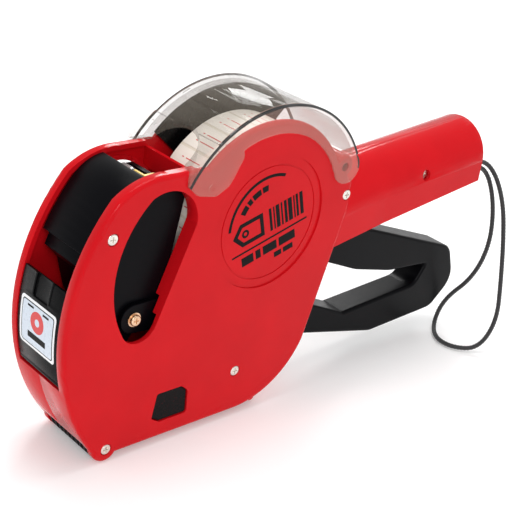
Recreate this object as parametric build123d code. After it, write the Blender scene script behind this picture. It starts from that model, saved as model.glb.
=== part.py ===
"""Hand-held price labeling gun: two moulded casing halves, a clear roll cover, a squeeze lever
that carries the print head, and the label path inside.

Frame: origin at the middle of the standing foot's underside, +Z up, +X towards the handle,
-X towards the nose, -Y the gun's left side.  Millimetres.
"""
import os
from math import asin, atan2, cos, degrees, radians, sin, sqrt, tan

from build123d import *

# ---------------------------------------------------------------- driving dimensions
BODY_W = 36.0            # width over the two casing halves
WALL = 2.0               # moulded wall
EDGE_R = 1.8             # rounding of the casing's outer edges
FOOT_H = 2.6             # how far the foot stands below the casing's flat bottom
TOP_Z = 115.6            # flat top in front of the roll cover
RIM_W = 4.5              # width of the rims beside the front opening

PIVOT = (22.0, 55.6)     # lever pivot, x and z
PIN_R = 3.0              # lever pivot pins, moulded on the casing halves
NOSE_R = 84.5            # front outline, an arc about the lever pivot
SHOULDER_ANGLE = 141.0   # where that arc ends at the top
CHIN_ANGLE = 212.0       # where it ends at the bottom
LEVER_TRAVEL = 16.0      # squeeze, degrees

ROLL_C = (30.0, 86.6)    # centre of the label roll
ROLL_R = 37.0            # full roll
LABEL_W = 21.5           # label width
CORE_R = 13.0            # roll core, outside
CORE_WALL = 1.2
HOLDER_R = 17.0          # flange of a roll holder

COVER_C = (29.5, ROLL_C[1])
COVER_R = 49.2           # roll cover, outside
COVER_T = 1.8            # roll cover shell
COVER_FRONT = 141.0      # roll cover's ends, degrees
COVER_REAR = 28.0
WING_T = 1.1             # roll cover side wings
WING_R = 38.0            # lower edge of the side wings, about the lobe's centre
TAB_R = 6.7              # round rear end of a wing
NOTCH_R = 15.5           # finger notch in the cover's front
LOBE_C = (27.0, ROLL_C[1])
LOBE_R = 42.5            # top of the casing's side walls under the cover
COVER_PIVOT = (68.2, 104.1)
COVER_PIN_R = 1.8

HANDLE_START = 62.0
HANDLE_MID = 100.0
HANDLE_END = 163.0       # rear end of the handle
HANDLE_ROOT_HALF = 17.9  # half width where it leaves the body
HANDLE_HALF = 16.5       # half width of the handle
END_WALL = 2.5           # handle end wall

LEVER_W = 14.3           # width of the finger loop
LEVER_EDGE_R = 1.5       # rounding of the finger loop's edges
ARM_IN = 11.3            # inner face of the yoke arms
ARM_T = 2.0              # thickness of a yoke arm
ARM_R = 8.0              # round end of a yoke arm at the pivot
HEAD_R = 82.4            # print head cover, an arc about the lever pivot
HEAD_COVER_T = 1.9
HEAD_COVER_HALF = 13.1
BAND_AXIS = (-30.0, 91.0)    # selector shaft
BAND_COUNT = 8           # number bands across the head
BAND_PITCH = 2.4
BAND_T = 1.1
WHEEL_R = 9.0
BAND_FOLD_R = 3.9        # bands where they turn round the anvil bar
PRINT_GAP = 0.4          # bands to printing plate with the lever squeezed
SELECTOR_R = 3.0
KNOB_R = 9.5

FRONT_COVER_T = 1.3
BASE_HALF = 11.6         # half width of the base cover
BASE_HINGE = (35.0, 4.8)
HINGE_PIN_R = 1.2
HEEL_X = 38.6            # front face of the heel that the gun also stands on
HEEL_L = 3.8
INK_PIVOT = (-55.0, 44.0)
INK_R = 6.0

PLATEN_Z = 24.0          # top of the printing plate
PLATEN_HALF = 13.0
APPLICATOR_R = 5.5
SLEEVE_R = 2.1           # sleeve over the nose screw that the application roller turns on
DISC_COUNT = 9
DISC_PITCH = 2.8
DISC_T = 1.5
FEED_C = (3.6, 21.5)     # feed wheel
FEED_R = 8.5
GUIDE_C = (42.0, 16.5)   # guide roller behind the feed wheel
GUIDE_R = 4.5
SHAFT_R = 1.5            # steel cross shafts
SPRING_PIN = (49.0, 15.2)    # lower anchor of the return spring
SPRING_Y = 9.3

BADGE_C = (29.9, 86.9)
BADGE_DISH_R = 28.0
BADGE_DEPTH = 0.7
BADGE_RING_R = 24.0

RUN_FIT = 0.05           # radial clearance, shaft in hole
GAP = 0.4                # clearance between moving covers and the casing
CLEAR = 0.6              # clearance between swinging parts and fixed ones
SCREW_R = 1.25           # casing screw shank
SCREW_HEAD_R = 2.3
SCREW_HEAD_H = 1.3
SCREW_PROUD = 0.05       # how far a head's top sits below the surface
POST_R = 3.0
NOSE_SCREW = (-40.0, 5.6)
NOSE_BOSS_R = 5.6
BODY_SCREWS = [(22.4, 21.8), (72.1, 91.1)]
FRONT_SCREW = (-45.0, 95.2)
HANDLE_SCREW = (124.5, 90.2)
HANDLE_SCREW_SINK = 2.0  # depth of the handle screw's recess
NOSE_THREAD = 15.5       # how deep the nose screw reaches into the right half
HEAD_SCREW = (-28.8, 57.2)

STRAP_D = 2.4            # wrist strap cord
STRAP_HOLE = (-12.1, 88.0)   # y and z of the strap's hole in the end wall
STRAP_PITCH = 2.7        # distance between the two strands in the hole

HALF = BODY_W / 2
INNER = HALF - WALL      # inner face of the side walls
OPEN_HALF = HALF - RIM_W
BOTTOM_Z = FOOT_H
LEVER_NOTCH_HALF = LEVER_W / 2 + 1.6
WING_Y = HALF + 0.25 + WING_T    # outer face of the cover's wings


# ---------------------------------------------------------------- small geometry helpers
def slab(face, y0, y1):
    """A face drawn in X and Z, extruded from y0 to y1."""
    return extrude(Plane.XZ.offset(-y1) * face, amount=y1 - y0)


def rod(centre, r, y0, y1):
    """A round bar along Y."""
    return slab(Pos(*centre) * Circle(r), y0, y1)


def tube(centre, r_out, r_in, y0, y1):
    return rod(centre, r_out, y0, y1) - rod(centre, r_in, y0 - 1, y1 + 1)


def poly(*points):
    return make_face(Polyline(*points, close=True))


def rounded(points, radius):
    """A closed outline with its corners rounded; radius is one value or one for each corner."""
    return make_face(FilletPolyline(*points, radius=radius, close=True))


def polar(centre, r, angle):
    return (centre[0] + r * cos(radians(angle)), centre[1] + r * sin(radians(angle)))


def sector(centre, r_in, r_out, a0, a1):
    """A ring sector in X and Z, angles in degrees from +X towards +Z."""
    mid = (a0 + a1) / 2
    outer = ThreePointArc(polar(centre, r_out, a0), polar(centre, r_out, mid), polar(centre, r_out, a1))
    inner = ThreePointArc(polar(centre, r_in, a1), polar(centre, r_in, mid), polar(centre, r_in, a0))
    return make_face([outer, Line(outer @ 1, inner @ 0), inner, Line(inner @ 1, outer @ 0)])


def turned(point, angle, about=PIVOT):
    """A point turned about a centre, anticlockwise seen from the gun's left."""
    dx, dz = point[0] - about[0], point[1] - about[1]
    c, s = cos(radians(angle)), sin(radians(angle))
    return (about[0] + dx * c - dz * s, about[1] + dx * s + dz * c)


def link(a, ra, b, rb):
    """A flat link: two round ends joined by their common tangents."""
    span = sqrt((b[0] - a[0]) ** 2 + (b[1] - a[1]) ** 2)
    along = degrees(atan2(b[1] - a[1], b[0] - a[0]))
    lean = degrees(asin((ra - rb) / span))
    left, right = along + 90 - lean, along - 90 + lean
    body = poly(polar(a, ra, left), polar(b, rb, left), polar(b, rb, right), polar(a, ra, right))
    return body + Pos(*a) * Circle(ra) + Pos(*b) * Circle(rb)


def both_sides(part):
    return part + mirror(part, Plane.XZ)


# places that follow from the driving dimensions
FRONT_HINGE = polar(PIVOT, NOSE_R - 1.9, 192.4)
ANVIL = turned((-30.0, PLATEN_Z + BAND_FOLD_R + PRINT_GAP), -LEVER_TRAVEL)
INK_REST = polar(ANVIL, BAND_FOLD_R + INK_R + 0.3, 225.0)    # ink roller with the lever at rest


# ---------------------------------------------------------------- casing
def body_outline():
    """Side outline of the body without the handle."""
    arc_top = polar(PIVOT, NOSE_R, SHOULDER_ANGLE)
    arc_end = polar(PIVOT, NOSE_R, CHIN_ANGLE)
    top_front = (-22.0, TOP_Z)
    shoulder = ThreePointArc(top_front, (-35.0, 113.7), arc_top)
    nose = ThreePointArc(arc_top, polar(PIVOT, NOSE_R, 180), arc_end)
    belly = ThreePointArc((24.0, BOTTOM_Z), (47.5, 10.4), (60.0, 26.5))
    lower = Polyline(arc_end, (-44.0, BOTTOM_Z), (24.0, BOTTOM_Z))
    back = Polyline((60.0, 26.5), (70.6, 67.8), (74.5, 84.0), (74.5, 97.0), (66.0, 103.0),
                    (50.0, 104.0), (-6.0, TOP_Z), top_front)
    outline = make_face([shoulder, nose, lower, belly, back])
    outline += Pos(*NOSE_SCREW) * Circle(NOSE_BOSS_R)
    outline += Pos(*LOBE_C) * Circle(LOBE_R)
    outline += Pos(*COVER_PIVOT) * Circle(TAB_R - 1.7)
    outline += poly((60.0, 95.0), (63.4, 105.5), (70.5, 101.0), (73.0, 97.5), (74.5, 95.0))
    return outline


def slot_outline():
    """Kidney-shaped slot in each side wall that the head's side and selector shaft show through."""
    front = ThreePointArc((-29.0, 107.6), (-42.6, 80.0), (-37.0, 54.0))
    foot = ThreePointArc((-37.0, 54.0), (-29.0, 49.6), (-21.6, 56.0))
    rear = Line((-21.6, 56.0), (-7.4, 94.0))
    top = ThreePointArc((-7.4, 94.0), (-12.0, 105.6), (-29.0, 107.6))
    return make_face([front, foot, rear, top])


def latch_outline(grow):
    """Five-cornered window for the base latch button, or the button, with a grow of its own."""
    return offset(rounded([(-19.3, 12.4), (-17.6, 23.4), (-5.6, 23.4), (-2.2, 20.6), (-1.6, 10.0),
                           (-15.2, 9.9)], 1.2), amount=grow)


def handle_section(x, half, top, bottom):
    """Arch-shaped handle section, open downwards when used as a cavity."""
    spring = top - half
    arch = make_face([Line((half, spring), (half, bottom)), Line((half, bottom), (-half, bottom)),
                      Line((-half, bottom), (-half, spring)),
                      ThreePointArc((-half, spring), (0, top), (half, spring))])
    return Plane(origin=(x, 0, 0), x_dir=(0, 1, 0), z_dir=(1, 0, 0)) * arch


def handle_top(x):
    return 96.6 + 0.107 * (x - HANDLE_START)


def handle_bottom(x):
    return 66.5 + 0.1475 * (x - HANDLE_START)


def handle_loft(inset, x0, x1, drop):
    """The handle's solid between x0 and x1, or its cavity when inset by the wall."""
    root = HANDLE_ROOT_HALF - inset
    grip = HANDLE_HALF - inset
    first = handle_section(x0, root, handle_top(x0) - inset, handle_bottom(x0) - drop)
    middle = handle_section(HANDLE_MID, grip, handle_top(HANDLE_MID) - inset, handle_bottom(HANDLE_MID) - drop)
    last = handle_section(x1, grip, handle_top(x1) - inset, handle_bottom(x1) - drop)
    return loft([first, middle], ruled=True) + loft([middle, last], ruled=True)


def casing_half():
    """The left half: shell, openings, screw posts and bosses."""
    outline = body_outline()
    shell = slab(outline, -HALF, 0)
    shell = fillet(shell.faces().sort_by(Axis.Y)[0].edges(), EDGE_R)
    left_half = Pos(60, -HALF / 2, 90) * Box(260, HALF, 200)
    shell += handle_loft(0, HANDLE_START, HANDLE_END, 0) & left_half
    shell -= slab(offset(outline, amount=-WALL), -INNER, 1)
    shell -= handle_loft(WALL, HANDLE_START - 6, HANDLE_END - END_WALL, 20)

    # notch for the lever's tail and hole for the strap in the end wall
    shell -= Pos(HANDLE_END, 0, handle_bottom(HANDLE_END)) * Box(12, 2 * LEVER_NOTCH_HALF, 20)
    shell -= Pos(HANDLE_END, *STRAP_HOLE) * Box(12, STRAP_D + 1.0, STRAP_PITCH + STRAP_D + 1.0)

    # front opening, roll compartment, lever slot, nose and base openings
    cover_foot = polar(PIVOT, NOSE_R - 2.0, 192.4)
    shell -= slab(poly((-80, cover_foot[1] - 2.2), (-80, 130), (-9.0, 130), (-9.0, 100), (-45, 70),
                       (-45, cover_foot[1] - 2.2)), -OPEN_HALF, 1)
    shell -= slab(poly((-9.5, 96), (-9.5, 140), (60.0, 140), (60.0, 112), (54.0, 100)), -INNER, 1)
    shell -= slab(poly((50, 17), (80, 17), (86, 70), (50, 70)), -LEVER_NOTCH_HALF, 1)
    chin_z = polar(PIVOT, NOSE_R, CHIN_ANGLE)[1] - 2.2
    shell -= slab(poly((-70, -5), (-70, chin_z), (-44, chin_z), (-33, 12), (-33, -5)), -OPEN_HALF, 1)
    shell -= slab(poly((-36.5, -5), (-36.5, 5.5), (28.0, 5.5), (30.0, 9.5), (38.0, 9.5), (38.0, -5)),
                  -(BASE_HALF + GAP), 1)

    # side slot with its inward flange, and the latch window
    slot = slot_outline()
    flange = offset(slot, amount=1.6) - poly((-60, 0), (-60, 58.5), (0, 58.5), (0, 0))
    shell += slab(flange, -INNER, -INNER + 2.2)
    rear_flange = flange & poly((-24.0, 65.0), (-14.0, 120.0), (0.0, 120.0), (0.0, 65.0))
    shell += slab(rear_flange, -INNER, -ARM_IN - 0.3)
    shell -= slab(slot, -HALF - 1, -ARM_IN)
    shell -= slab(latch_outline(0), -HALF - 1, 0)
    # shallow round dish for the badge, with a fine groove inside it
    shell -= rod(BADGE_C, BADGE_DISH_R, -HALF - 1, -HALF + BADGE_DEPTH)
    shell -= tube(BADGE_C, BADGE_RING_R + 0.35, BADGE_RING_R - 0.35, -HALF - 1, -HALF + 1.0)

    # screw posts
    for x, z in BODY_SCREWS:
        shell += rod((x, z), POST_R, -INNER - 0.5, 0)
    shell += rod(NOSE_SCREW, POST_R, -INNER - 0.5, -OPEN_HALF)
    shell += rod(FRONT_SCREW, POST_R, -INNER - 0.5, -HEAD_COVER_HALF - 0.35)
    shell += rod(HANDLE_SCREW, POST_R, -14.0, 0)
    shell += rod(HANDLE_SCREW, 4.4, -14.0, -9.0)

    # bosses for the lever pivot, shafts, covers and roll holders
    shell += rod(PIVOT, 6.0, -INNER - 0.5, -(ARM_IN + ARM_T + 0.25))
    shell += rod(PIVOT, PIN_R, -INNER - 0.5, -ARM_IN + 0.2)
    for centre in (FEED_C, GUIDE_C):
        shell += rod(centre, 3.2, -INNER - 0.5, -INNER + 2.0)
        shell -= rod(centre, SHAFT_R + RUN_FIT, -INNER - 1.0, 1)
    shell += rod(FRONT_HINGE, 1.9, -INNER - 0.5, -OPEN_HALF)
    shell -= rod(FRONT_HINGE, 1.0 + RUN_FIT, -INNER - 1.0, 1)
    shell += rod(INK_PIVOT, 2.6, -INNER - 0.5, -OPEN_HALF)
    shell -= rod(INK_PIVOT, HINGE_PIN_R + RUN_FIT, -INNER - 1.0, 1)
    shell += rod(BASE_HINGE, 2.0, -INNER - 0.5, -(BASE_HALF + GAP))
    shell -= rod(BASE_HINGE, HINGE_PIN_R + RUN_FIT, -INNER - 1.0, 1)
    shell -= rod(COVER_PIVOT, COVER_PIN_R + RUN_FIT, -HALF - 1, 1)
    # heel under the belly, behind the base flap
    shell += slab(poly((HEEL_X, 0), (HEEL_X + HEEL_L, 0), (HEEL_X + HEEL_L, 7.4), (HEEL_X, 7.4)), -9.0, 0)
    # cross web between the head and the roll, and the ledge that carries the printing plate
    shell += slab(poly((-8.2, 104.5), (-8.2, 112.5), (-6.6, 112.5), (-6.6, 104.5)), -INNER - 0.5, 0)
    shell += slab(poly((-36, PLATEN_Z - 3), (-36, PLATEN_Z - 1), (-22, PLATEN_Z - 1), (-22, PLATEN_Z - 3)),
                  -INNER - 0.5, -PLATEN_HALF + 1.6)
    return shell


def casings():
    half = casing_half()
    right = mirror(half, Plane.XZ)
    left = half
    for centre in BODY_SCREWS + [NOSE_SCREW, HANDLE_SCREW, FRONT_SCREW]:
        surface = handle_side(centre) if centre == HANDLE_SCREW else HALF
        sink = HANDLE_SCREW_SINK if centre == HANDLE_SCREW else 0.0
        left -= rod(centre, SCREW_HEAD_R + 0.15, -HALF - 1, -surface + sink + SCREW_PROUD + SCREW_HEAD_H)
        left -= rod(centre, SCREW_R + RUN_FIT, -HALF, 1)
        if centre != FRONT_SCREW:
            right -= rod(centre, SCREW_R + RUN_FIT, -1, NOSE_THREAD if centre == NOSE_SCREW else 13)
    # spring pin, and the strap leaves through the left half only
    right += rod(SPRING_PIN, 1.2, SPRING_Y - 2.2, INNER + 0.5)
    right += Pos(HANDLE_END - END_WALL / 2, -STRAP_HOLE[0], STRAP_HOLE[1]) * Box(END_WALL, 5, 8)
    return left, right


def handle_side(centre):
    """Half width of the handle at a point of its side."""
    share = (centre[0] - HANDLE_START) / (HANDLE_MID - HANDLE_START)
    return HANDLE_HALF if share > 1 else HANDLE_ROOT_HALF + share * (HANDLE_HALF - HANDLE_ROOT_HALF)


def screw(centre, head_top, length):
    """A pan-head cross-recess screw pointing in +Y from its head."""
    head = rod(centre, SCREW_HEAD_R, head_top, head_top + SCREW_HEAD_H)
    head = fillet(head.edges().sort_by(Axis.Y)[0], 0.6)
    cross = Pos(centre[0], head_top, centre[1]) * (Box(2.4, 1.1, 0.5) + Box(0.5, 1.1, 2.4))
    shank = rod(centre, SCREW_R, head_top + SCREW_HEAD_H, head_top + length)
    return head + shank - cross


def casing_screws():
    parts = [screw(c, -HALF + SCREW_PROUD, 30) for c in BODY_SCREWS]
    parts.append(screw(NOSE_SCREW, -HALF + SCREW_PROUD, HALF + NOSE_THREAD - 0.5))
    parts.append(screw(FRONT_SCREW, -HALF + SCREW_PROUD, 4.2))
    parts.append(screw(HANDLE_SCREW, -handle_side(HANDLE_SCREW) + HANDLE_SCREW_SINK + SCREW_PROUD, 26))
    return Compound(children=parts)


# ---------------------------------------------------------------- roll cover and label roll
def label_cover():
    """Clear cover: a curved top shell with a U-shaped finger notch, and two side wings."""
    top = sector(COVER_C, COVER_R - COVER_T, COVER_R, COVER_REAR, COVER_FRONT)
    nose_face = poly((-14.3, TOP_Z + 0.3), (-14.3, 117.5), (-2.2, 124.8), (-2.0, 121.5), (-7.0, 117.4),
                     (-7.0, TOP_Z + 0.3))
    profile = top + (nose_face - Pos(*COVER_C) * Circle(COVER_R - COVER_T))
    notch = Pos(-16.0, 0, 0) * Cylinder(NOTCH_R, 400) + Pos(-30, 0, 0) * Box(28, 2 * NOTCH_R, 400)
    shell = slab(profile, -WING_Y, WING_Y) - notch

    wing = sector(COVER_C, WING_R - 8, COVER_R, COVER_REAR, 133.0) - Pos(*LOBE_C) * Circle(WING_R)
    wing += rounded([(-14.3, 110.0), (-9.6, 105.8), (-1.0, 104.2), (5.2, 107.5), (11.0, 118.5), (6.0, 127.0),
                     (-3.0, 121.0), (-14.3, 116.5)], [1.0, 6.0, 5.0, 5.0, 3.0, 3.0, 1.0, 1.0])
    wing += Pos(*COVER_PIVOT) * Circle(TAB_R)
    wing &= Pos(*COVER_C) * Circle(COVER_R) + Pos(*COVER_PIVOT) * Circle(TAB_R) + \
        poly((-14.3, 100), (-14.3, 117.4), (-3, 124.5), (10, 100))
    side = slab(wing, -WING_Y, -WING_Y + WING_T)
    side -= rod((-3.2, 107.9), 1.4, -WING_Y - 1, -WING_Y + 0.4)
    shell -= rod(COVER_PIVOT, 5.4, -HALF - 0.24, HALF + 0.24)
    side += rod(COVER_PIVOT, COVER_PIN_R, -WING_Y + 0.1, -INNER + 1.0)
    cover = shell + both_sides(side)
    # raised finger tab on the far side of the top
    tab = rod(polar(COVER_C, COVER_R - 1.2, 113.5), 2.4, 12.5, 16.5)
    cover += (tab & rod(COVER_C, COVER_R + 0.6, 0, 30)) - rod(COVER_C, COVER_R - COVER_T, 0, 30)
    return cover


def label_roll():
    paper = tube(ROLL_C, ROLL_R, CORE_R + 0.05, -LABEL_W / 2, LABEL_W / 2)
    core = tube(ROLL_C, CORE_R, CORE_R - CORE_WALL, -LABEL_W / 2, LABEL_W / 2)
    return paper, core


def roll_holder():
    """Left holder: a flange on the casing wall with a stub inside the roll core."""
    stub_r = CORE_R - CORE_WALL - 0.1
    flange = rod(ROLL_C, HOLDER_R, -INNER, -LABEL_W / 2 - 0.5)
    stub = tube(ROLL_C, stub_r, stub_r - 2.0, -LABEL_W / 2 - 0.6, -4.0)
    return flange + stub


def roll_guide():
    """Black guide plate on the far side of the roll, between it and the right casing half."""
    inner = ARM_IN + ARM_T + 0.6
    hole_r = HOLDER_R + 0.2
    plate = slab(sector(COVER_C, 20.0, COVER_R - COVER_T - 0.7, 46.0, 138.0), inner, inner + 1.2)
    plate += slab(sector(ROLL_C, hole_r, 24.0, 46.0, 138.0), inner + 1.1, INNER)
    return plate - rod(ROLL_C, hole_r, 0, 30)


# ---------------------------------------------------------------- squeeze lever
LOOP_OUTER = [(38.0, 27.0), (38.0, 48.0), (66.0, 60.0), (80.0, 62.5), (98.0, 66.8), (106.8, 63.7), (166.5, 42.6),
              (173.6, 24.0), (160.0, 11.2), (117.0, 9.0), (69.8, 20.5)]
LOOP_OUTER_R = [3.0, 2.0, 2.0, 2.0, 6.0, 1.0, 9.0, 11.0, 8.0, 12.0, 10.0]
LOOP_INNER = [(71.0, 35.5), (72.0, 56.5), (100.0, 45.0), (124.0, 39.0), (149.5, 37.0), (143.5, 27.5),
              (96.0, 24.4)]
LOOP_INNER_R = [4.0, 4.0, 30.0, 30.0, 1.0, 7.0, 3.0]


def trigger_lever():
    """Moulded lever: finger loop behind, cross block between the yoke arms in front."""
    half = LEVER_W / 2
    loop = slab(rounded(LOOP_OUTER, LOOP_OUTER_R) - rounded(LOOP_INNER, LOOP_INNER_R), -half, half)
    loop = fillet(loop.faces().sort_by(Axis.Y)[0].edges() + loop.faces().sort_by(Axis.Y)[-1].edges(), LEVER_EDGE_R)
    block = slab(rounded([(38.0, 29.0), (38.0, 42.0), (53.0, 42.0), (53.0, 29.0)], 2.0), -ARM_IN, ARM_IN)
    lever = loop + block
    for turn in (0, -LEVER_TRAVEL / 2, -LEVER_TRAVEL):
        lever -= rod(turned(ROLL_C, turn), ROLL_R + 1.0, -30, 30)
    for turn in (0, -LEVER_TRAVEL / 2, -LEVER_TRAVEL):
        lever -= rod(turned(BODY_SCREWS[1], turn), POST_R + CLEAR, -30, 30)
    return lever


def yoke_arm():
    """Left yoke arm: pivots on the casing and carries the head at its front end."""
    outline = link(PIVOT, ARM_R, (44.0, 35.5), 6.5) + link(PIVOT, ARM_R, HEAD_SCREW, 6.0)
    arm = slab(outline, -(ARM_IN + ARM_T), -ARM_IN)
    arm -= rod(PIVOT, PIN_R + RUN_FIT, -20, 0)
    arm -= rod(HEAD_SCREW, SCREW_R + RUN_FIT, -20, 0)
    return arm


def yoke_screws():
    """Brass head screws with their washers, one on each side."""
    outer = ARM_IN + ARM_T
    washer = tube(HEAD_SCREW, 2.9, SCREW_R + RUN_FIT, -outer - 0.35, -outer)
    left = screw(HEAD_SCREW, -outer - 0.35 - SCREW_HEAD_H, 4.5)
    group = left + washer
    return Compound(children=[group, mirror(group, Plane.XZ)])


# ---------------------------------------------------------------- print head
def head_frame():
    """Black head housing: two cheeks, front wall and rear wall around the number bands."""
    shell_r = HEAD_R - HEAD_COVER_T - 0.1
    front = ThreePointArc(polar(PIVOT, shell_r, 160.0), polar(PIVOT, shell_r, 151.0), polar(PIVOT, shell_r, 143.0))
    rest = Polyline(front @ 1, (-32.0, 111.3), (-29.8, 111.3), (-29.8, 109.2), (-17.0, 109.2), (-8.8, 104.0),
                    (-13.2, 76.0), (-18.6, 55.0), (-24.0, 51.5), (-38.5, 51.5), (-44.5, 64.0), (-48.0, 77.0),
                    front @ 0)
    side = make_face([front, rest]) + link((-31.5, 57.0), 7.0, ANVIL, BAND_FOLD_R - 0.9)
    frame = slab(side, -ARM_IN, ARM_IN)
    bands_half = BAND_COUNT * BAND_PITCH / 2 + 0.3
    room = link(BAND_AXIS, WHEEL_R + BAND_T + 0.5, ANVIL, BAND_FOLD_R + 0.5)
    frame -= slab(room, -bands_half, bands_half)
    # window behind the top cover, and a hollow behind the bands
    frame -= slab(poly((-30.0, 98.0), (-30.0, 120), (-19.0, 120), (-19.0, 98.0)), -bands_half, bands_half)
    frame -= slab(poly((-40, 30), (-40, 47), (-24, 47), (-24, 30)), -bands_half, bands_half)
    frame -= rod(BAND_AXIS, SELECTOR_R + RUN_FIT, -ARM_IN + 0.8, 20)
    return frame - rod(HEAD_SCREW, SCREW_R + RUN_FIT, -20, 20)


def head_cover():
    """Curved black cover over the front and top of the head."""
    inner_r = HEAD_R - HEAD_COVER_T
    arc = sector(PIVOT, inner_r, HEAD_R, SHOULDER_ANGLE, 156.4)
    bend_out = ThreePointArc(polar(PIVOT, HEAD_R, SHOULDER_ANGLE), (-36.0, 112.4), (-29.4, 114.3))
    bend_in = ThreePointArc((-29.4, 112.4), (-35.2, 110.7), polar(PIVOT, inner_r, SHOULDER_ANGLE))
    bend = make_face([bend_out, Line(bend_out @ 1, bend_in @ 0), bend_in, Line(bend_in @ 1, bend_out @ 0)])
    return slab(arc + bend, -HEAD_COVER_HALF, HEAD_COVER_HALF)


def number_bands():
    """Moulded number bands, each a loop from its wheel down to the printing face."""
    loops = []
    for i in range(BAND_COUNT):
        y = (i - (BAND_COUNT - 1) / 2) * BAND_PITCH
        ring = link(BAND_AXIS, WHEEL_R + BAND_T, ANVIL, BAND_FOLD_R)
        ring -= link(BAND_AXIS, WHEEL_R, ANVIL, BAND_FOLD_R - BAND_T)
        loops.append(slab(ring, y - BAND_PITCH / 2 + 0.1, y + BAND_PITCH / 2 - 0.1))
    return Compound(children=loops)


def band_wheels():
    wheels = []
    for i in range(BAND_COUNT):
        y = (i - (BAND_COUNT - 1) / 2) * BAND_PITCH
        wheels.append(tube(BAND_AXIS, WHEEL_R - 0.05, SELECTOR_R + RUN_FIT, y - BAND_PITCH / 2 + 0.1,
                           y + BAND_PITCH / 2 - 0.1))
    return Compound(children=wheels)


def band_anvil():
    """Bar that the bands turn round at the printing face."""
    return rod(ANVIL, BAND_FOLD_R - BAND_T - 0.05, -ARM_IN + 1.4, ARM_IN - 1.4)


def head_window():
    """Clear magnifier strip over the far end of the digit window."""
    return slab(rounded([(-29.5, 108.2), (-29.5, 110.6), (-21.8, 110.6), (-21.8, 108.2)], 0.9), 2.6, 9.3)


def digit_pointer():
    """Yellow pointer on a sliding sleeve; it shows which band the selector has picked."""
    blade = Pos(-24.5, -4.0, 111.2) * Box(1.0, 8.0, 0.7)
    bridge = Pos(-22.4, -6.0, 111.2) * Box(5.2, 1.6, 0.7)
    stem = Pos(-20.6, -6.0, 106.0) * Box(1.6, 1.6, 10.4)
    return blade + bridge + stem


def selector_shaft():
    return rod(BAND_AXIS, SELECTOR_R, -ARM_IN + 1.0, HALF + 3.0)


def selector_knob():
    """Fluted black knob on the gun's right side, outside the slot."""
    knob = rod(BAND_AXIS, KNOB_R, HALF + 3.0, HALF + 13.0)
    knob = fillet(knob.edges().sort_by(Axis.Y)[-1], 1.5)
    for i in range(16):
        knob -= rod(polar(BAND_AXIS, KNOB_R + 0.6, i * 22.5), 1.1, HALF + 1, HALF + 11)
    knob -= rod(BAND_AXIS, 5.5, HALF + 12.2, HALF + 14)
    return knob


# ---------------------------------------------------------------- front cover and inking
def front_cover():
    """Black front cover, an arc about the lever pivot, hinged at its foot."""
    half = OPEN_HALF - 0.3
    face_r = NOSE_R - 0.3
    plate = slab(sector(PIVOT, face_r - FRONT_COVER_T, face_r, 166.2, 191.6), -half, half)
    plate -= slab(sector(PIVOT, face_r - 0.6, NOSE_R + 1, 164.0, 172.4), -4.6, 4.6)
    for s in (-1, 1):
        rib = slab(sector(PIVOT, face_r - 0.9, NOSE_R, 166.2, 172.0), s * 5.2 - 0.6, s * 5.2 + 0.6)
        plate += rib
    barrel = rod(FRONT_HINGE, 1.6, -half, half) + rod(FRONT_HINGE, 1.0, -INNER + 0.6, INNER - 0.6)
    return plate + barrel


def front_sticker():
    """Rounded label on the front cover."""
    band = slab(sector(PIVOT, NOSE_R - 0.3, NOSE_R - 0.12, 173.2, 186.8), -11.3, 11.4)
    return band


def ink_holder():
    """Swing arm pair that holds the ink roller under the printing face."""
    arm = slab(link(INK_PIVOT, 2.4, INK_REST, 2.2), -12.9, -11.7)
    arm -= rod(INK_REST, HINGE_PIN_R + RUN_FIT, -20, 0)
    bar = rod(INK_PIVOT, 1.6, -12.8, 12.8)
    pins = rod(INK_PIVOT, HINGE_PIN_R, -INNER + 0.6, INNER - 0.6)
    return both_sides(arm) + bar + pins


def ink_roller():
    felt = tube(INK_REST, INK_R, 2.0, -10.6, 10.6)
    core = tube(INK_REST, 1.95, HINGE_PIN_R + RUN_FIT * 2, -11.4, 11.4)
    axle = rod(INK_REST, HINGE_PIN_R, -12.7, 12.7)
    return felt, core, axle


# ---------------------------------------------------------------- label path in the base
def label_plate():
    """Steel printing plate with its peeling edge over the application roller."""
    plate = slab(poly((-40.0, PLATEN_Z - 0.8), (-40.6, PLATEN_Z - 0.2), (-38.0, PLATEN_Z), (-14.0, PLATEN_Z),
                      (-10.0, PLATEN_Z - 2.0), (-10.0, PLATEN_Z - 3.0), (-14.0, PLATEN_Z - 1.0),
                      (-38.0, PLATEN_Z - 1.0)), -PLATEN_HALF + 1.2, PLATEN_HALF - 1.2)
    return plate


def application_roller():
    """Soft roller with a row of thin discs that presses the label on."""
    roller = tube(NOSE_SCREW, 3.4, SLEEVE_R + RUN_FIT, -12.9, 12.9)
    for i in range(DISC_COUNT):
        y = (i - (DISC_COUNT - 1) / 2) * DISC_PITCH
        roller += tube(NOSE_SCREW, APPLICATOR_R, 3.0, y - DISC_T / 2, y + DISC_T / 2)
    return roller


def application_sleeve():
    """Steel sleeve over the nose screw, clamped between the casing halves."""
    return tube(NOSE_SCREW, SLEEVE_R, SCREW_R + RUN_FIT, -OPEN_HALF, OPEN_HALF)


def cross_shaft(centre):
    return rod(centre, SHAFT_R, -INNER - 0.6, INNER + 0.6)


def feed_wheel():
    """Sprocket wheel whose pins pull the backing strip."""
    wheel = tube(FEED_C, FEED_R - 1.3, SHAFT_R + RUN_FIT, -9.5, 9.5)
    for i in range(10):
        a = i * 36
        pin = Pos(FEED_C[0], 0, FEED_C[1]) * Rot(0, a, 0) * Pos(FEED_R - 1.2, 0, 0)
        wheel += pin * Box(2.4, 2.2, 1.4)
    wheel += tube(FEED_C, FEED_R - 0.4, 6.0, -9.5, -8.0) + tube(FEED_C, FEED_R - 0.4, 6.0, 8.0, 9.5)
    return wheel


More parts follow.
